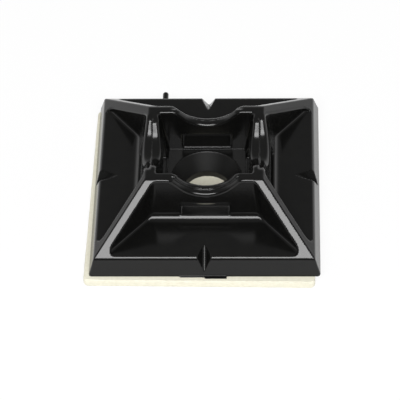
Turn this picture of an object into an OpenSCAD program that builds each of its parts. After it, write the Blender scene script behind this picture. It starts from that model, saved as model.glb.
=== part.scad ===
// Four-way cable tie mount: a low moulded pyramid on an adhesive foam pad.
// Millimetres, +Z up. Origin: the screw hole's axis at the underside of the pad.
// Four sloping ribs carry a square tower; each tower wall is a bridge with a tie
// tunnel under it and a saddle on top, so a tie can be threaded either way.

/* [Base] */
// Side of the square base where it sits on the pad
base_w = 28; // [24:0.5:34]
// Height of the steep skirt round the base
skirt_h = 2.43; // [1.5:0.01:3.5]
// How far the skirt leans in over its height
skirt_in = 0.7; // [0.2:0.05:1.2]
// Height of the whole moulding above the pad
body_h = 8.76; // [7.5:0.01:11]

/* [Pockets and ribs] */
// Height of the four pocket floors above the pad
pocket_z = 2.72; // [2:0.01:3.5]
// Thickness of the diagonal ribs
rib_w = 1.75; // [1.2:0.05:2.5]
// Radius of the pocket corners at the base edge
pocket_r = 0.6; // [0.3:0.05:1]
// Radius of the cove along the foot of each rib
rib_cove = 0.3; // [0.1:0.05:0.6]

/* [Tower] */
// Width of the tower across X where the sloping faces reach full height
top_x = 14.06; // [12:0.02:17]
// Width of the tower across Y where the sloping faces reach full height
top_y = 11.9; // [10:0.02:15]
// Width of the tower across X at the pocket floor
foot_x = 16.8; // [14:0.1:20]
// Width of the tower across Y at the pocket floor
foot_y = 14; // [12:0.02:18]
// Width of the tower across Y at its waist, where the hollow walls stand upright
waist_y = 12.5; // [10.5:0.1:14]
// Lean of the two flat tower walls, which face X, degrees
lean_x = 10.7; // [2:0.1:14]
// Radius of the cove along the foot of the tower walls
foot_cove = 0.9; // [0.2:0.05:1]

/* [Well and screw seat] */
// Height of the well floor above the pad
well_z = 2.2; // [1.6:0.05:3]
// Width of the well across X at its floor
well_x = 9.66; // [8:0.02:12]
// Width of the well across X at the top
mouth_x = 11.6; // [9:0.1:13]
// Width of the well across Y at its floor
well_y = 9.5; // [8:0.1:11]
// Width of the well across Y at the top
mouth_y = 9.76; // [8:0.02:11]
// Diameter of the screw hole
hole_d = 5.88; // [3:0.02:7]
// Diameter of the cone seat where it meets the well floor
seat_d = 8.76; // [7:0.02:9.4]
// Height of the foot of the cone seat above the pad
seat_z = 0.08; // [0.02:0.02:1]
// Outer diameter of the collar that carries the hole down into the pad
collar_d = 7.8; // [6.5:0.1:9.5]
// How far the collar reaches below the base
collar_h = 0.9; // [0.3:0.05:1.1]

/* [Bridges] */
// Width of each tie tunnel
tunnel_w = 6.05; // [4:0.05:8]
// Height of each tunnel's floor above the pad, at the well
tunnel_z = 2.5; // [2:0.05:3]
// How far each tunnel's floor rises from the well to its outer sill
sill_rise = 0.72; // [0:0.02:1]
// Height of each tunnel's roof above the pad
roof_z = 4.8; // [4:0.02:5.5]
// Radius in the bottom of the saddles, outer half of each bridge
saddle_r = 4.3; // [3.5:0.05:5]
// Lowest point of the saddles above the pad, outer half
saddle_z = 6.34; // [5.8:0.02:7]
// Radius in the bottom of the saddles, well half of each bridge
inner_r = 3.65; // [3:0.05:4.5]
// Lowest point of the saddles above the pad, well half
inner_z = 6.52; // [5.8:0.02:7.2]
// Slope of the straight flanks of the saddles, degrees
flank = 46; // [35:0.5:60]
// Offset along X of the saddles over the two bridges that face Y
saddle_dx = 0.12; // [-0.5:0.02:0.5]
// Radius of the rolled lips along the saddles
lip_r = 0.45; // [0.2:0.05:0.6]

/* [Drain notches] */
// Height on the skirt where the notches run out, above the pad
notch_z = 0.55; // [0.3:0.05:1.5]
// How far in from the skirt's top edge the notches reach
notch_l = 2.48; // [1.5:0.02:4]
// Width of the notches at the skirt's top edge
notch_w = 1.65; // [1:0.05:2.5]
// Radius in the bottom of the notches
notch_r = 0.12; // [0.05:0.01:0.3]

/* [Moulding marks] */
// Position of the gate stub along the rear skirt
gate_x = -5.57; // [-8:0.01:8]
// Diameter of the gate stub
gate_d = 0.75; // [0.4:0.05:1.2]
// Height of the gate stub above the pad
gate_z = 1.6; // [0.5:0.05:2]
// How far the gate stub stands out of the rear edge
gate_out = 1.0; // [0.2:0.05:1.5]
// Length of the moulding flash hanging from the front edge
flash_w = 2.7; // [1:0.1:5]
// Depth of the flash where it overlaps the pad's top
flash_d = 0.38; // [0.1:0.02:0.5]

/* [Foam pad] */
// Thickness of the foam pad
pad_t = 1.2; // [0.8:0.1:2]
// How far each edge of the foam pad is cut inside the size of the base
pad_in = 0; // [-1:0.1:2]
// Corner radius of the foam pad
pad_r = 0.5; // [0.2:0.1:3]
// Pad's offset from the moulding's axis along X
pad_dx = -0.5; // [-1:0.05:1]
// Pad's offset from the moulding's axis along Y
pad_dy = -0.7; // [-1:0.05:1]
// Pad's twist under the moulding, degrees
pad_turn = -0.7; // [-3:0.1:3]

/* [Hidden] */
$fn = 64;
eps = 0.01;
edge = base_w/2 - skirt_in;          // half width at the skirt's top edge
run_x = edge - top_x/2;              // how far a rib runs across X
run_y = edge - top_y/2;              // how far a rib runs across Y
rib_l = norm([run_x, run_y]);        // plan length of a rib
rise = body_h - skirt_h;
hollow_z = 8.5;                      // height of the tower's waist
hollow_out = (foot_y - waist_y)/2;
hollow_up = hollow_z - pocket_z;
// radius of the two hollow walls, and their lean where they meet the pocket floor
hollow_r = (hollow_up*hollow_up + hollow_out*hollow_out)/(2*hollow_out);
lean_y = asin(hollow_up/hollow_r);
border_y = edge - (pocket_z - skirt_h)*run_y/rise;
border_x = edge - (pocket_z - skirt_h)*run_x/rise;
notch_apex = edge - notch_l;
notch_tip = base_w/2 - skirt_in*notch_z/skirt_h;
notch_a = atan((pocket_z - notch_z)/(notch_tip - notch_apex));
notch_at_edge = skirt_h - pocket_z + (edge - notch_apex)*tan(notch_a);
notch_slope = notch_w/2/(notch_at_edge*cos(notch_a));

function unit(v) = v/norm(v);
// half width of the front pocket at a distance y in front of the axis
function front_half(y) = edge - (edge - y)*run_x/run_y - rib_w/2*rib_l/run_y;
// half width of a side pocket at a distance x beside the axis
function side_half(x) = edge - (edge - x)*run_y/run_x - rib_w/2*rib_l/run_x;

// Convex outline with every corner rounded to its own radius.
module soft_poly(pts, radii) {
  n = len(pts);
  arcs = [for (i = [0:n-1])
    let (p = pts[i], a = unit(pts[(i+n-1)%n] - p), b = unit(pts[(i+1)%n] - p),
         h = acos(a*b)/2, r = radii[i], t = r/tan(h))
    [p + a*t, p + b*t, p + unit(a+b)*r/sin(h), r]];
  polygon([for (c = arcs) each [c[0], c[1]]]);
  for (c = arcs) translate(c[2]) circle(r = c[3]);
}

// Four-sided frustum from two profiles, so its faces stay flat.
module frustum(z0, x0, y0, z1, x1, y1) {
  s = max(x0, y0, x1, y1) + 1;
  intersection() {
    rotate([90, 0, 0]) linear_extrude(2*s, center = true)
      polygon([[-x0, z0], [x0, z0], [x1, z1], [-x1, z1]]);
    rotate([90, 0, 90]) linear_extrude(2*s, center = true)
      polygon([[-y0, z0], [y0, z0], [y1, z1], [-y1, z1]]);
  }
}

// Cove that fills the corner between a floor and a wall leaning back by lean.
// The corner runs along X through the origin, with the air on its -Y side.
module cove(len, r, lean = 0) {
  a = 90 + lean;
  t = r/tan(a/2);
  rotate([90, 0, 90]) linear_extrude(len, center = true)
    difference() {
      polygon([[0.1, -0.1], [-t, -0.1], [-t, 0], [t*sin(lean), t*cos(lean)],
               [t*sin(lean) + 0.1, t*cos(lean)]]);
      // a hair over tangent, so coves that cross still cut into each other cleanly
      translate([-t, r]) circle(r = 1.015*r);
    }
}

// Sloping outer form: steep skirt, then faces that rise to the tower.
module outer_form() {
  frustum(0, base_w/2, base_w/2, skirt_h, edge, edge);
  frustum(skirt_h - eps, edge, edge, body_h, top_x/2, top_y/2);
}

// Tower walls, taken past the top so the outer form trims them. The walls that
// face X lean back and stay flat, the walls that face Y are hollow.
module tower_form() {
  up = 8;
  k = tan(lean_x);
  intersection() {
    translate([0, 0, pocket_z]) rotate([90, 0, 0]) linear_extrude(2*foot_y, center = true)
      polygon([[-foot_x/2 - 0.3*k, -0.3], [foot_x/2 + 0.3*k, -0.3],
               [foot_x/2 - up*k, up], [-foot_x/2 + up*k, up]]);
    rotate([90, 0, 90]) linear_extrude(2*foot_x, center = true) difference() {
      translate([-foot_y/2 - 0.5, pocket_z - 0.3]) square([foot_y + 1, up]);
      for (m = [-1, 1]) translate([m*(waist_y/2 + hollow_r), hollow_z])
        circle(r = hollow_r, $fn = 256);
    }
  }
}

// Plan of one pocket: wedge between two ribs, rounded where it meets the edge.
module pocket_plan(border, near, half_near, half_far) {
  soft_poly([[-half_near, -near], [half_near, -near], [half_far, -border],
             [-half_far, -border]], [eps, eps, pocket_r, pocket_r]);
  cut = pocket_r/tan(atan((border - near)/(half_far - half_near))/2);
  translate([cut - half_far, -border - 2]) square([2*(half_far - cut), 2.1]);
}

module pocket_plans() {
  near_y = top_y/2 - 0.6;
  near_x = top_x/2 - 0.6;
  for (s = [0, 180]) {
    rotate(s) pocket_plan(border_y, near_y, front_half(near_y), front_half(border_y));
    rotate(s + 90) pocket_plan(border_x, near_x, side_half(near_x), side_half(border_x));
  }
}

// Coves along the feet of the tower walls and of the ribs.
module coves() {
  translate([0, 0, pocket_z]) {
    for (s = [0, 180]) {
      rotate(s) translate([0, -foot_y/2, 0]) cove(foot_x, foot_cove, lean_y);
      rotate(s + 90) translate([0, -foot_x/2, 0]) cove(foot_y, foot_cove, lean_x);
    }
    for (sx = [-1, 1], sy = [-1, 1]) scale([sx, sy, 1])
      translate([edge, edge, 0]) rotate(atan2(run_y, run_x))
        translate([-rib_l/2 - 0.6, 0, 0]) for (m = [0, 1]) mirror([0, m, 0])
          translate([0, -rib_w/2, 0]) cove(rib_l - 2.2, rib_cove);
  }
}

// Profile of one saddle: a round bottom between two straight flanks.
module saddle_profile(r, low) {
  u = r*sin(flank);
  v = low + r - r*cos(flank);
  up = body_h + 1.5 - v;
  translate([0, low + r]) circle(r = r, $fn = 96);
  polygon([[-u, v], [u, v], [u + up/tan(flank), v + up], [-u - up/tan(flank), v + up]]);
}

// What a rolled lip takes off the edge of a bridge, in plan of distance and depth.
module lip_section(wall) {
  difference() {
    translate([-0.6, wall - lip_r]) square([0.6 + lip_r, 1.2 + lip_r]);
    translate([lip_r, wall - lip_r]) circle(r = lip_r);
  }
}

// One rolled lip, swept round the bottom of a saddle and up both its flanks.
// The saddle runs along Y and the lip turns down the wall that stands at y = wall.
module rolled_lip(r, low, wall) {
  translate([0, 0, low + r]) rotate([90, 0, 0]) mirror([0, 0, 1])
    rotate_extrude($fn = 96) translate([r, 0]) lip_section(wall);
  for (m = [0, 1]) mirror([m, 0, 0])
    translate([r*sin(flank), 0, low + r - r*cos(flank)]) rotate([0, 90 - flank, 0])
      linear_extrude(3.4) lip_section(wall);
}

// Saddle cut over the bridge that faces +Y, in two halves with rolled lips.
module saddle_cut(wall_in, wall_out) {
  mid = (wall_in + wall_out)/2;
  translate([0, edge, 0]) rotate([90, 0, 0]) linear_extrude(edge - mid)
    saddle_profile(saddle_r, saddle_z);
  translate([0, mid + eps, 0]) rotate([90, 0, 0]) linear_extrude(mid + eps - 1)
    saddle_profile(inner_r, inner_z);
  rolled_lip(saddle_r, saddle_z, wall_out);
  // the inner lip is the same roll turned to face the well
  mirror([0, 1, 0]) rolled_lip(inner_r, inner_z, -wall_in);
}

// One drain notch in the middle of the edge that faces +Y.
module notch_cut() {
  up = 4;
  translate([0, notch_apex, pocket_z]) rotate([-notch_a, 0, 0]) rotate([90, 0, 0])
    translate([0, 0, -8]) linear_extrude(8.4) {
      hw = notch_slope;
      k = notch_r*sqrt(1 + hw*hw);
      polygon([[0, 0], [hw*up, up], [-hw*up, up]]);
      // the bottom of the notch is a small round, not a knife line
      translate([0, k]) circle(r = notch_r, $fn = 24);
    }
}

module screw_seat() {
  translate([0, 0, -2]) cylinder(d = hole_d, h = 6);
  slope = (seat_d - hole_d)/2/(well_z - seat_z);
  translate([0, 0, seat_z])
    cylinder(d1 = hole_d, d2 = seat_d + 2*slope*0.02, h = well_z - seat_z + 0.02, $fn = 96);
}

module well_cut() {
  k = (mouth_x - well_x)/2/(body_h - well_z);
  m = (mouth_y - well_y)/2/(body_h - well_z);
  frustum(well_z, well_x/2, well_y/2, body_h + 1, mouth_x/2 + k, mouth_y/2 + m);
}

// Tie tunnel under one pair of bridges, running along Y, with its rising sills.
module tunnel_cut(reach, start) {
  rotate([90, 0, 90]) linear_extrude(tunnel_w, center = true)
    polygon([[-reach, tunnel_z + sill_rise], [-start, tunnel_z], [start, tunnel_z],
             [reach, tunnel_z + sill_rise], [reach, roof_z], [-reach, roof_z]]);
}

module mount_body() {
  wall_z = saddle_z - pocket_z;
  part_in = (saddle_z - well_z)/(body_h - well_z);
  in_x = (well_x + (mouth_x - well_x)*part_in)/2;
  in_y = (well_y + (mouth_y - well_y)*part_in)/2;
  out_x = foot_x/2 - wall_z*tan(lean_x);
  out_y = waist_y/2 + hollow_r - sqrt(hollow_r*hollow_r - pow(hollow_z - saddle_z, 2));
  color([0.03, 0.03, 0.032]) translate([0, 0, pad_t]) {
    difference() {
      union() {
        intersection() {
          outer_form();
          union() {
            difference() {
              translate([0, 0, body_h/2])
                cube([base_w + 2, base_w + 2, body_h + 1], center = true);
              translate([0, 0, pocket_z]) linear_extrude(body_h) pocket_plans();
            }
            tower_form();
            coves();
          }
        }
        // collar under the base, let into the pad
        translate([0, 0, -collar_h]) cylinder(d = collar_d, h = collar_h + 0.5);
      }
      well_cut();
      screw_seat();
      tunnel_cut(foot_y/2 + 0.13, well_y/2);
      rotate(90) tunnel_cut(foot_x/2 + 0.13, well_x/2);
      for (s = [0, 1]) {
        translate([saddle_dx, 0, 0]) mirror([0, s, 0]) saddle_cut(in_y, out_y);
        mirror([s, 0, 0]) rotate(90) saddle_cut(in_x, out_x);
      }
      for (s = [0:90:270]) rotate(s) notch_cut();
    }
    // stub left by the moulding gate
    translate([gate_x, base_w/2 - 1, gate_z]) rotate([-90, 0, 0])
      cylinder(d = gate_d, h = 1 + gate_out, $fn = 24);
    // sliver of flash along the front edge
    translate([0, -base_w/2 - flash_d, 0]) cube([flash_w, flash_d + 0.5, 0.12]);
  }
}

module foam_pad() {
  h = base_w/2 - pad_in;
  color([0.88, 0.87, 0.79]) difference() {
    translate([pad_dx, pad_dy, 0]) rotate(pad_turn) linear_extrude(pad_t)
      soft_poly([[-h, -h], [h, -h], [h, h], [-h, h]], [pad_r, pad_r, pad_r, pad_r]);
    translate([0, 0, pad_t - collar_h]) cylinder(d = collar_d, h = collar_h + 1);
  }
}

mount_body();
foam_pad();
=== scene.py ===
import math

import bpy
import numpy as np
from mathutils import Matrix, Vector


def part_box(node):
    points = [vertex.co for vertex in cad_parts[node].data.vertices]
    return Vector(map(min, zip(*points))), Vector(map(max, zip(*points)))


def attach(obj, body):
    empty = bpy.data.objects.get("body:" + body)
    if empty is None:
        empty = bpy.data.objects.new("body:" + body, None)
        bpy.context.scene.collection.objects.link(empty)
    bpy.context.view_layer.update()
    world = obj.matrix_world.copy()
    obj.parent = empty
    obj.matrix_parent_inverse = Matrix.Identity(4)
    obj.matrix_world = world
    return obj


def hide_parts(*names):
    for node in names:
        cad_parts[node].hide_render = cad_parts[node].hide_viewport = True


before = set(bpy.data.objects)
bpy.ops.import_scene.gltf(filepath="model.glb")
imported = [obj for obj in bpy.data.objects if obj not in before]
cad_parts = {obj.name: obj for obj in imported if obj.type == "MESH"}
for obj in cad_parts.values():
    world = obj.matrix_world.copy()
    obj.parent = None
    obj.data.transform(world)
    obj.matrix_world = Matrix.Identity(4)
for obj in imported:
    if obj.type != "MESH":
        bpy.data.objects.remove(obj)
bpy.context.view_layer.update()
mm = 0.001

padBox = np.array(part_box("foam_pad"))
bodyBox = np.array(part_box("mount_body"))
padTop = padBox[1][2] / mm                # the nylon stands on the foam at this height


# the moulding's sizes in mm, heights from the foam's top
mount = {
    "baseHalf": 14.0, "skirtTop": 2.43, "skirtIn": 0.7, "height": 8.76,
    "cornerFade": 1.5, "cornerRise": 1.6,
    "topHalfX": 7.03, "topHalfY": 5.95,
    "pocketFloor": 2.72, "ribWidth": 1.75,
    "footHalfX": 8.4, "footHalfY": 7.0, "leanX": 10.7, "waistHalfY": 6.25, "waistHeight": 8.5,
    "wellFloor": 2.2, "wellHalfX": 4.83, "wellHalfY": 4.75,
    "mouthHalfX": 5.8, "mouthHalfY": 4.88,
    "holeRadius": 2.94, "seatRadius": 4.38, "seatFoot": 0.08, "seatPast": 0.1,
    "collarRadius": 3.9, "collarDepth": 0.9, "collarRoot": 0.5,
    "tunnelHalf": 3.025, "tunnelFloor": 2.5, "tunnelRoof": 4.8, "tunnelRise": 0.72, "tunnelPast": 0.13,
    "saddleFlank": 46, "saddleShift": 0.12, "saddleRadius": 4.3, "saddleLow": 6.34,
    "innerRadius": 3.65, "innerLow": 6.52, "stepX": 6.6, "stepY": 5.63,
    "notchLength": 2.48, "notchWidth": 1.65, "notchTip": 0.55, "notchBack": 0.4,
    "gateX": -5.57, "gateZ": 1.6, "gateRadius": 0.37, "gateEnd": 14.97, "gateRoot": 12.5,
}
flash = {
    "thickX": 1.35, "thickHalf": 1.32, "thickDepth": 0.36,
    "thinX": -1.5, "thinHalf": 1.5, "thinDepth": 0.14,
    "height": 0.07, "heightHalf": 0.06,
}
# radius of each moulded edge and cove, in mm
rounding = {
    "skirtCorner": 0.3, "skirtTop": 0.10, "hip": 0.12, "top": 0.2, "base": 0.05,
    "pocketRim": 0.14, "ribFoot": 0.3, "towerFoot": 0.9, "pocketCorner": 1.1,
    "wellCorner": 0.25, "wellFloor": 0.08, "wellRim": 0.4,
    "tunnelCorner": 0.2, "tunnelRim": 0.14, "seatRim": 0.06,
    "saddleLip": 0.45, "saddleStep": 0.1, "notchRim": 0.06, "notchBottom": 0.1,
    "gateTip": 0.2, "gateFoot": 0.08,
}


def roundMax(a, b, radius):
    # two half spaces meet on a rounded edge
    reach = np.hypot(np.maximum(a + radius, 0), np.maximum(b + radius, 0))
    return np.minimum(np.maximum(a, b), -radius) + reach


def roundMin(a, b, radius):
    # two forms join with a cove between them
    reach = np.hypot(np.maximum(radius - a, 0), np.maximum(radius - b, 0))
    return np.maximum(np.minimum(a, b), radius) - reach


def leaning(across, up, lean):
    # signed distance from a wall that leans back by an angle, in radians
    return across * math.cos(lean) + up * math.sin(lean)


def saddleForm(across, z, radius, lowest, flank):
    # trough with a round bottom and straight flanks, above zero inside it
    sine = math.sin(math.radians(flank))
    cosine = math.cos(math.radians(flank))
    aside = np.abs(across)
    belowAxis = lowest + radius - z
    bowl = radius - np.hypot(aside, belowAxis)
    slope = (radius * sine - aside) * sine + (radius * cosine - belowAxis) * cosine
    return np.where(aside * cosine > belowAxis * sine, slope, bowl)


def skirtAndSlopes(ax, ay, z):
    # steep skirt, then four faces that slope up to the tower
    m = mount
    r = rounding
    edge = m["baseHalf"] - m["skirtIn"]
    rise = m["height"] - m["skirtTop"]
    skirtLean = math.atan2(m["skirtIn"], m["skirtTop"])
    sides = []
    for across, topHalf in ((ax, m["topHalfX"]), (ay, m["topHalfY"])):
        skirt = leaning(across - m["baseHalf"], z, skirtLean)
        slope = leaning(across - edge, z - m["skirtTop"], math.atan2(edge - topHalf, rise))
        sides.append(roundMax(skirt, slope, r["skirtTop"]))
    # the corners are rounder low on the skirt than along the ribs
    corner = r["hip"] + (r["skirtCorner"] - r["hip"]) * np.clip(m["cornerFade"] - z / m["cornerRise"], 0, 1)
    form = roundMax(sides[0], sides[1], corner)
    form = roundMax(form, z - m["height"], r["top"])
    return roundMax(form, -z, r["base"])


def pocketForm(ax, ay, z):
    # four pockets between the ribs and the tower walls
    m = mount
    r = rounding
    edge = m["baseHalf"] - m["skirtIn"]
    runX = edge - m["topHalfX"]
    runY = edge - m["topHalfY"]
    fromRib = ((ax - edge) * runY - (ay - edge) * runX) / math.hypot(runX, runY)
    floor = m["pocketFloor"] - z
    drop = (m["pocketFloor"] - m["skirtTop"]) / (m["height"] - m["skirtTop"])
    wallX = -leaning(ax - m["footHalfX"], z - m["pocketFloor"], math.radians(m["leanX"]))
    # the two walls that face Y are slightly hollow, the two that face X are flat
    out = m["footHalfY"] - m["waistHalfY"]
    tall = m["waistHeight"] - m["pocketFloor"]
    hollow = (tall * tall + out * out) / (2 * out)
    wallY = np.hypot(ay - m["waistHalfY"] - hollow, z - m["waistHeight"]) - hollow
    pockets = []
    for rib, wall, border in ((fromRib, wallY, ay - edge + drop * runY),
                              (-fromRib, wallX, ax - edge + drop * runX)):
        side = rib + m["ribWidth"] / 2
        pocket = roundMax(roundMax(wall, floor, r["towerFoot"]), side, r["ribFoot"])
        pockets.append(np.maximum(pocket, roundMax(side, border, r["pocketCorner"])))
    return np.minimum(pockets[0], pockets[1])


def wellForm(ax, ay, z):
    # square well in the tower, a little wider at its mouth
    m = mount
    r = rounding
    depth = m["height"] - m["wellFloor"]
    leanX = math.atan2(m["mouthHalfX"] - m["wellHalfX"], depth)
    leanY = math.atan2(m["mouthHalfY"] - m["wellHalfY"], depth)
    up = z - m["wellFloor"]
    well = roundMax(leaning(ax - m["wellHalfX"], up, -leanX),
                    leaning(ay - m["wellHalfY"], up, -leanY), r["wellCorner"])
    return roundMax(well, -up, r["wellFloor"])


def cutSaddles(form, x, y, z):
    # saddles over the bridges in two steps, with rolled lips
    m = mount
    r = rounding
    for across, along, middle in ((x - m["saddleShift"], np.abs(y), m["stepY"]),
                                  (y, np.abs(x), m["stepX"])):
        outer = saddleForm(across, z, m["saddleRadius"], m["saddleLow"], m["saddleFlank"])
        inner = saddleForm(across, z, m["innerRadius"], m["innerLow"], m["saddleFlank"])
        inner = roundMax(inner, along - middle, r["saddleStep"])
        form = roundMax(form, roundMin(outer, inner, r["saddleStep"]), r["saddleLip"])
    return form


def cutTunnels(form, ax, ay, z):
    # tie tunnels under the bridges, with floors that rise from the well outwards
    m = mount
    r = rounding
    for across, along, reach, start in ((ax, ay, m["footHalfY"], m["wellHalfY"]),
                                        (ay, ax, m["footHalfX"], m["wellHalfX"])):
        ramp = np.clip((along - start) / (reach - start), 0, 1) * m["tunnelRise"]
        level = np.maximum(m["tunnelFloor"] + ramp - z, z - m["tunnelRoof"])
        tunnel = roundMax(across - m["tunnelHalf"], level, r["tunnelCorner"])
        tunnel = np.maximum(tunnel, along - reach - m["tunnelPast"])
        form = roundMax(form, -tunnel, r["tunnelRim"])
    return form


def seatForm(fromAxis, z):
    # screw hole and its cone seat
    m = mount
    slope = math.atan2(m["seatRadius"] - m["holeRadius"], m["wellFloor"] - m["seatFoot"])
    seat = leaning(fromAxis - m["holeRadius"], z - m["seatFoot"], -slope)
    seat = np.maximum(np.maximum(seat, m["seatFoot"] - z), z - m["wellFloor"] - m["seatPast"])
    return np.minimum(seat, fromAxis - m["holeRadius"])


def cutNotches(form, x, y, z):
    # drain notches in the middle of each edge
    m = mount
    r = rounding
    edge = m["baseHalf"] - m["skirtIn"]
    apex = edge - m["notchLength"]
    tip = m["baseHalf"] - m["skirtIn"] * m["notchTip"] / m["skirtTop"]
    fall = math.atan2(m["pocketFloor"] - m["notchTip"], tip - apex)
    deep = (m["skirtTop"] - m["pocketFloor"]) * math.cos(fall) + (edge - apex) * math.sin(fall)
    flare = m["notchWidth"] / 2 / deep
    for across, along in ((x, np.abs(y)), (y, np.abs(x))):
        high = (along - apex) * math.sin(fall) + (z - m["pocketFloor"]) * math.cos(fall)
        notch = (np.hypot(across, r["notchBottom"]) - high * flare) / math.hypot(1, flare)
        form = roundMax(form, -np.maximum(notch, apex - m["notchBack"] - along), r["notchRim"])
    return form


def mouldingMarks(form, x, y, z):
    # stub left by the gate, and a sliver of flash under the front edge
    m = mount
    f = flash
    stub = np.hypot(x - m["gateX"], z - m["gateZ"]) - m["gateRadius"]
    stub = roundMax(stub, np.maximum(y - m["gateEnd"], m["gateRoot"] - y), rounding["gateTip"])
    form = roundMin(form, stub, rounding["gateFoot"])
    fromEdge = np.abs(y + m["baseHalf"])
    thick = np.maximum(np.abs(x - f["thickX"]) - f["thickHalf"], fromEdge - f["thickDepth"])
    thin = np.maximum(np.abs(x - f["thinX"]) - f["thinHalf"], fromEdge - f["thinDepth"])
    sliver = np.maximum(np.minimum(thick, thin), np.abs(z - f["height"]) - f["heightHalf"])
    return np.minimum(form, sliver)


def mountForm(x, y, z):
    # signed distance from the nylon surface, in mm, z from the foam's top
    ax = np.abs(x)
    ay = np.abs(y)
    fromAxis = np.hypot(x, y)
    form = skirtAndSlopes(ax, ay, z)
    collar = np.maximum(-mount["collarDepth"] - z, z - mount["collarRoot"])
    form = np.minimum(form, np.maximum(fromAxis - mount["collarRadius"], collar))
    form = roundMax(form, -pocketForm(ax, ay, z), rounding["pocketRim"])
    form = roundMax(form, -wellForm(ax, ay, z), rounding["wellRim"])
    form = cutSaddles(form, x, y, z)
    form = cutTunnels(form, ax, ay, z)
    form = roundMax(form, -seatForm(fromAxis, z), rounding["seatRim"])
    form = cutNotches(form, x, y, z)
    return mouldingMarks(form, x, y, z)


def surfaceOf(formOf, low, high, step):
    # one vertex in each grid cell that the surface crosses, pulled onto the surface
    axes = [np.arange(a - step, b + 1.5 * step, step) for a, b in zip(low, high)]
    field = formOf(axes[0][:, None, None], axes[1][None, :, None], axes[2][None, None, :])
    inside = field < 0
    cells = np.array(field.shape) - 1
    total = np.zeros((*cells, 3))
    count = np.zeros(tuple(cells))
    quads = []
    for axis in range(3):
        one = [slice(None)] * 3
        two = [slice(None)] * 3
        one[axis] = slice(0, -1)
        two[axis] = slice(1, None)
        a = field[tuple(one)]
        b = field[tuple(two)]
        hits = np.argwhere(inside[tuple(one)] != inside[tuple(two)])
        keys = tuple(hits.T)
        part = a[keys] / (a[keys] - b[keys])
        spot = hits.astype(float)
        spot[:, axis] += part
        u, v = [k for k in range(3) if k != axis]
        ring = []
        for du, dv in ((-1, -1), (0, -1), (0, 0), (-1, 0)):
            cell = hits.copy()
            cell[:, u] += du
            cell[:, v] += dv
            ring.append(cell)
            np.add.at(total, tuple(cell.T), spot)
            np.add.at(count, tuple(cell.T), 1)
        flip = inside[tuple(one)][keys] == (axis != 1)
        quads.append((ring, flip))
    used = count > 0
    number = -np.ones(tuple(cells), int)
    number[used] = np.arange(used.sum())
    points = total[used] / count[used][:, None] * step + np.array([a[0] for a in axes])
    faces = []
    for ring, flip in quads:
        face = np.stack([number[tuple(c.T)] for c in ring], -1)
        face[~flip] = face[~flip][:, ::-1]
        faces.append(face)
    return points, np.concatenate(faces)


def slopeOf(formOf, points, reach=0.01):
    # which way, and how steeply, the form grows at each point
    slopes = []
    for axis in range(3):
        ends = []
        for sign in (1, -1):
            moved = points.copy()
            moved[:, axis] += sign * reach
            ends.append(formOf(moved[:, 0], moved[:, 1], moved[:, 2]))
        slopes.append((ends[0] - ends[1]) / (2 * reach))
    return np.stack(slopes, -1)


def settle(formOf, points, rounds=3, leastSlope=0.2):
    # moves the points onto the surface
    for _ in range(rounds):
        slope = slopeOf(formOf, points)
        off = formOf(points[:, 0], points[:, 1], points[:, 2])
        points = points - (off / np.maximum((slope ** 2).sum(-1), leastSlope))[:, None] * slope
    return points


def addMesh(name, points, faces):
    mesh = bpy.data.meshes.new(name)
    mesh.from_pydata((points * mm).tolist(), [], faces)
    mesh.validate()
    piece = bpy.data.objects.new(name, mesh)
    bpy.context.scene.collection.objects.link(piece)
    return piece


# the grid that the nylon is sampled on, in mm
meshing = {
    "step": 0.17, "low": (-14.05, -14.45, -0.95), "high": (14.05, 15.0, 8.8),
    "normalReach": 0.02, "inside": 0.001,
}


def makeNylonMount():
    points, faces = surfaceOf(mountForm, meshing["low"], meshing["high"], meshing["step"])
    points = settle(mountForm, points)
    normals = slopeOf(mountForm, points, meshing["normalReach"])
    normals /= np.maximum(np.linalg.norm(normals, axis=1), 1e-9)[:, None]
    points[:, 2] += padTop
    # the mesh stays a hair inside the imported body's box
    points = np.clip(points, bodyBox[0] / mm + meshing["inside"], bodyBox[1] / mm - meshing["inside"])
    piece = addMesh("nylonMount", points, faces.tolist())
    piece.data.shade_smooth()
    piece.data.normals_split_custom_set_from_vertices(normals.tolist())
    print("nylon mount:", len(points), "points,", len(faces), "quads")
    return piece


print("shaping the nylon mount")
nylonMount = makeNylonMount()
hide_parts("mount_body")
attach(nylonMount, "root")


# the foam's sizes in mm; its cut edge is a little rough and soft at top and bottom
pad = {
    "half": 14.0, "corner": 0.5, "dx": -0.5, "dy": -0.7, "turn": -0.7,
    "rough": 0.05, "edgeSoft": 0.10, "edgeSharpness": 4, "across": 420, "cornerSteps": 8, "layers": 9,
    "sharpAngle": 40,
}


def padOutline(count):
    # points round the pad's edge, with its soft corners
    straight = pad["half"] - pad["corner"]
    steps = pad["cornerSteps"]
    along = count // 4 - steps
    outline = []
    for side in range(4):
        turn = side * math.pi / 2
        here = [(pad["half"], -straight + 2 * straight * (i / along)) for i in range(along)]
        for i in range(steps):
            a = math.pi / 2 * i / steps
            here.append((straight + pad["corner"] * math.cos(a), straight + pad["corner"] * math.sin(a)))
        for x, y in here:
            outline.append((x * math.cos(turn) - y * math.sin(turn), x * math.sin(turn) + y * math.cos(turn)))
    return np.array(outline)


def edgeNoise(count, layers):
    # smooth random roughness between 0 and 1, the same each run
    noise = np.random.default_rng(7).random((count, layers))
    for _ in range(2):
        noise = (noise + np.roll(noise, 1, 0) + np.roll(noise, -1, 0)) / 3
    return (noise - noise.min()) / (noise.max() - noise.min())


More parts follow.
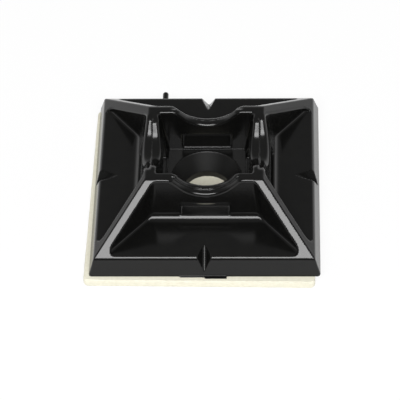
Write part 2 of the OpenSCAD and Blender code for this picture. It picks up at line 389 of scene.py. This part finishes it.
def makeFoamPad():
    outline = padOutline(pad["across"])
    count = len(outline)
    layers = pad["layers"]
    noise = edgeNoise(count, layers)
    turn = math.radians(pad["turn"])
    rings = []
    for layer in range(layers):
        up = layer / (layers - 1)
        tuck = pad["edgeSoft"] * abs(2 * up - 1) ** pad["edgeSharpness"]
        shrink = 1 - (tuck + pad["rough"] * noise[:, layer]) / pad["half"]
        ring = outline * shrink[:, None]
        x = ring[:, 0] * math.cos(turn) - ring[:, 1] * math.sin(turn) + pad["dx"]
        y = ring[:, 0] * math.sin(turn) + ring[:, 1] * math.cos(turn) + pad["dy"]
        rings.append(np.stack([x, y, np.full(count, up * padTop)], -1))
    # pocket in the top that takes the mount's collar
    start = math.atan2(rings[-1][0, 1], rings[-1][0, 0])
    angles = start + np.arange(count) / count * 2 * math.pi
    for height in (padTop, padTop - mount["collarDepth"]):
        x = np.cos(angles) * mount["collarRadius"]
        y = np.sin(angles) * mount["collarRadius"]
        rings.append(np.stack([x, y, np.full(count, height)], -1))
    faces = []
    for lower in range(len(rings) - 1):
        a = lower * count
        b = a + count
        faces += [(a + i, a + (i + 1) % count, b + (i + 1) % count, b + i) for i in range(count)]
    faces.append(tuple(range(count - 1, -1, -1)))
    last = (len(rings) - 1) * count
    faces.append(tuple(range(last, last + count)))
    piece = addMesh("foamPad", np.concatenate(rings), faces)
    piece.data.shade_smooth()
    piece.data.set_sharp_from_angle(angle=math.radians(pad["sharpAngle"]))
    return piece


print("cutting the foam pad")
foamPad = makeFoamPad()
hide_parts("foam_pad")
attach(foamPad, "root")


def newMaterial(name):
    material = bpy.data.materials.new(name)
    material.use_nodes = True
    nodes = material.node_tree.nodes
    nodes.clear()
    out = nodes.new("ShaderNodeOutputMaterial")
    shader = nodes.new("ShaderNodeBsdfPrincipled")
    material.node_tree.links.new(shader.outputs[0], out.inputs[0])
    return material, nodes, material.node_tree.links, shader


def mathNode(nodes, links, operation, first, second):
    # each input is a socket or a plain number
    node = nodes.new("ShaderNodeMath")
    node.operation = operation
    for slot, value in enumerate((first, second)):
        if isinstance(value, bpy.types.NodeSocket):
            links.new(value, node.inputs[slot])
        else:
            node.inputs[slot].default_value = value
    return node.outputs[0]


def cloudyGroup():
    # a colour that drifts between two shades with a fine noise, and the noise itself
    group = bpy.data.node_groups.new("cloudyColour", "ShaderNodeTree")
    for name, kind in (("Scale", "Float"), ("Detail", "Float"), ("Dark", "Color"), ("Pale", "Color")):
        group.interface.new_socket(name=name, in_out="INPUT", socket_type="NodeSocket" + kind)
    for name, kind in (("Colour", "Color"), ("Cloud", "Float")):
        group.interface.new_socket(name=name, in_out="OUTPUT", socket_type="NodeSocket" + kind)
    given = group.nodes.new("NodeGroupInput")
    result = group.nodes.new("NodeGroupOutput")
    where = group.nodes.new("ShaderNodeTexCoord")
    cloud = group.nodes.new("ShaderNodeTexNoise")
    shades = group.nodes.new("ShaderNodeMixRGB")
    group.links.new(where.outputs["Object"], cloud.inputs["Vector"])
    group.links.new(given.outputs["Scale"], cloud.inputs["Scale"])
    group.links.new(given.outputs["Detail"], cloud.inputs["Detail"])
    group.links.new(cloud.outputs["Fac"], shades.inputs["Fac"])
    group.links.new(given.outputs["Dark"], shades.inputs["Color1"])
    group.links.new(given.outputs["Pale"], shades.inputs["Color2"])
    group.links.new(shades.outputs["Color"], result.inputs["Colour"])
    group.links.new(cloud.outputs["Fac"], result.inputs["Cloud"])
    return group


cloudy = cloudyGroup()


def addCloud(nodes, finish):
    node = nodes.new("ShaderNodeGroup")
    node.node_tree = cloudy
    node.inputs["Scale"].default_value = finish["noiseScale"]
    node.inputs["Detail"].default_value = finish["noiseDetail"]
    node.inputs["Dark"].default_value = finish["dark"]
    node.inputs["Pale"].default_value = finish["pale"]
    return node


nylonFinish = {
    "dark": (0.003, 0.003, 0.003, 1), "pale": (0.006, 0.006, 0.0055, 1),
    "noiseScale": 900, "noiseDetail": 4, "grain": 0.05, "grainDepth": 0.00005,
    "ior": 1.5, "specular": 0.32, "roughness": 0.16, "seatRoughness": 0.42,
    "seatReach": 4.86, "seatBelow": 0.03,       # how far the rougher seat finish goes, in mm
}


def blackNylon(finish):
    material, nodes, links, shader = newMaterial("blackNylon")
    shader.inputs["IOR"].default_value = finish["ior"]
    shader.inputs["Specular IOR Level"].default_value = finish["specular"]
    cloud = addCloud(nodes, finish)
    links.new(cloud.outputs["Colour"], shader.inputs["Base Color"])
    bump = nodes.new("ShaderNodeBump")
    bump.inputs["Strength"].default_value = finish["grain"]
    bump.inputs["Distance"].default_value = finish["grainDepth"]
    links.new(cloud.outputs["Cloud"], bump.inputs["Height"])
    links.new(bump.outputs[0], shader.inputs["Normal"])
    # the cone seat is rougher than the rest
    where = nodes.new("ShaderNodeTexCoord")
    split = nodes.new("ShaderNodeSeparateXYZ")
    links.new(where.outputs["Object"], split.inputs[0])
    flat = nodes.new("ShaderNodeCombineXYZ")
    links.new(split.outputs["X"], flat.inputs["X"])
    links.new(split.outputs["Y"], flat.inputs["Y"])
    fromAxis = nodes.new("ShaderNodeVectorMath")
    fromAxis.operation = "LENGTH"
    links.new(flat.outputs[0], fromAxis.inputs[0])
    seatTop = (padTop + mount["wellFloor"] - finish["seatBelow"]) * mm
    near = mathNode(nodes, links, "LESS_THAN", fromAxis.outputs["Value"], finish["seatReach"] * mm)
    low = mathNode(nodes, links, "LESS_THAN", split.outputs["Z"], seatTop)
    gloss = nodes.new("ShaderNodeMapRange")
    gloss.inputs["To Min"].default_value = finish["roughness"]
    gloss.inputs["To Max"].default_value = finish["seatRoughness"]
    links.new(mathNode(nodes, links, "MULTIPLY", near, low), gloss.inputs["Value"])
    links.new(gloss.outputs[0], shader.inputs["Roughness"])
    return material


foamFinish = {
    "dark": (0.66, 0.63, 0.50, 1), "pale": (0.80, 0.78, 0.66, 1),
    "noiseScale": 2500, "noiseDetail": 5, "roughness": 0.8,
}


def creamFoam(finish):
    material, nodes, links, shader = newMaterial("creamFoam")
    shader.inputs["Roughness"].default_value = finish["roughness"]
    links.new(addCloud(nodes, finish).outputs["Colour"], shader.inputs["Base Color"])
    return material


print("making the materials")
nylonMount.data.materials.append(blackNylon(nylonFinish))
foamPad.data.materials.append(creamFoam(foamFinish))

stage = {
    "size": 1.6, "under": 0.00002, "grey": (0.9, 0.9, 0.9, 1), "roughness": 0.9,
    "whiteGlow": 1.0, "whiteShare": 0.85,       # how white the camera sees the floor
}


def paleFloorFinish():
    # the camera sees the floor nearly white, with the object's shadow left in
    material, nodes, links, shader = newMaterial("paleFloorFinish")
    shader.inputs["Base Color"].default_value = stage["grey"]
    shader.inputs["Roughness"].default_value = stage["roughness"]
    path = nodes.new("ShaderNodeLightPath")
    glow = nodes.new("ShaderNodeEmission")
    glow.inputs["Strength"].default_value = stage["whiteGlow"]
    mix = nodes.new("ShaderNodeMixShader")
    seen = mathNode(nodes, links, "MULTIPLY", path.outputs["Is Camera Ray"], stage["whiteShare"])
    links.new(seen, mix.inputs[0])
    links.new(shader.outputs[0], mix.inputs[1])
    links.new(glow.outputs[0], mix.inputs[2])
    links.new(mix.outputs[0], nodes["Material Output"].inputs[0])
    return material


print("setting the stage")
bpy.ops.mesh.primitive_plane_add(size=stage["size"], location=(0, 0, -stage["under"]))
floor = bpy.context.object
floor.name = "paleFloor"
floor.data.materials.append(paleFloorFinish())

# angles in degrees, the rest in mm
view = {
    "elevation": 49.03, "azimuth": 3.38, "roll": -2.64, "distance": 277.27,
    "targetX": -0.83, "targetY": -1.76, "lens": 201.3714, "sensor": 36, "clipStart": 10,
}


def addCamera():
    e = math.radians(view["elevation"])
    a = math.radians(view["azimuth"])
    roll = math.radians(view["roll"])
    back = Vector((math.sin(a) * math.cos(e), -math.cos(a) * math.cos(e), math.sin(e)))
    target = Vector((view["targetX"], view["targetY"], padTop)) * mm
    eye = target + back * view["distance"] * mm
    levelRight = (-back).cross(Vector((0, 0, 1))).normalized()
    levelUp = levelRight.cross(-back)
    right = levelRight * math.cos(roll) + levelUp * math.sin(roll)
    up = -levelRight * math.sin(roll) + levelUp * math.cos(roll)
    camera = bpy.data.objects.new("camera", bpy.data.cameras.new("camera"))
    camera.data.lens = view["lens"]
    camera.data.sensor_width = view["sensor"]
    camera.data.clip_start = view["clipStart"] * mm
    camera.matrix_world = Matrix((
        (right.x, up.x, back.x, eye.x),
        (right.y, up.y, back.y, eye.y),
        (right.z, up.z, back.z, eye.z), (0, 0, 0, 1)))
    bpy.context.scene.collection.objects.link(camera)
    bpy.context.scene.camera = camera


# the soft box stands in front, in metres and degrees
softBox = {"elevation": 50.5, "distance": 0.5, "wide": 0.40, "tall": 0.17, "glow": 14.0}


def addSoftBox():
    e = math.radians(softBox["elevation"])
    place = Vector((0, -math.cos(e), math.sin(e))) * softBox["distance"]
    lamp = bpy.data.objects.new("frontBox", bpy.data.lights.new("frontBox", "AREA"))
    lamp.data.shape = "RECTANGLE"
    lamp.data.size = softBox["wide"]
    lamp.data.size_y = softBox["tall"]
    lamp.data.energy = softBox["glow"] * softBox["wide"] * softBox["tall"] * math.pi
    lamp.location = place
    lamp.rotation_euler = (-place).to_track_quat("-Z", "Y").to_euler()
    bpy.context.scene.collection.objects.link(lamp)


# the room is bright low down at the sides and behind, dim overhead and dark in front
room = {
    "horizon": 1.3, "overhead": 0.28, "horizonEnds": 0.05, "overheadStarts": 0.6,
    "front": 0.1, "behind": 1.0, "frontEnds": -0.7, "behindStarts": -0.2,
}


def softStep(nodes, links, value, fromMin, fromMax, toMin, toMax):
    node = nodes.new("ShaderNodeMapRange")
    node.interpolation_type = "SMOOTHSTEP"
    for name, number in (("From Min", fromMin), ("From Max", fromMax), ("To Min", toMin), ("To Max", toMax)):
        node.inputs[name].default_value = number
    links.new(value, node.inputs["Value"])
    return node.outputs[0]


def lightRoom():
    world = bpy.data.worlds.new("studio")
    bpy.context.scene.world = world
    world.use_nodes = True
    nodes = world.node_tree.nodes
    links = world.node_tree.links
    sky = nodes["Background"]
    sky.inputs["Color"].default_value = (1, 1, 1, 1)
    where = nodes.new("ShaderNodeTexCoord")
    split = nodes.new("ShaderNodeSeparateXYZ")
    links.new(where.outputs["Generated"], split.inputs[0])
    height = softStep(nodes, links, split.outputs["Z"], room["horizonEnds"], room["overheadStarts"],
                      room["horizon"], room["overhead"])
    behind = softStep(nodes, links, split.outputs["Y"], room["frontEnds"], room["behindStarts"],
                      room["front"], room["behind"])
    links.new(mathNode(nodes, links, "MULTIPLY", height, behind), sky.inputs["Strength"])


print("placing the camera and the lights")
addCamera()
addSoftBox()
lightRoom()
bpy.context.scene.view_settings.view_transform = "Standard"
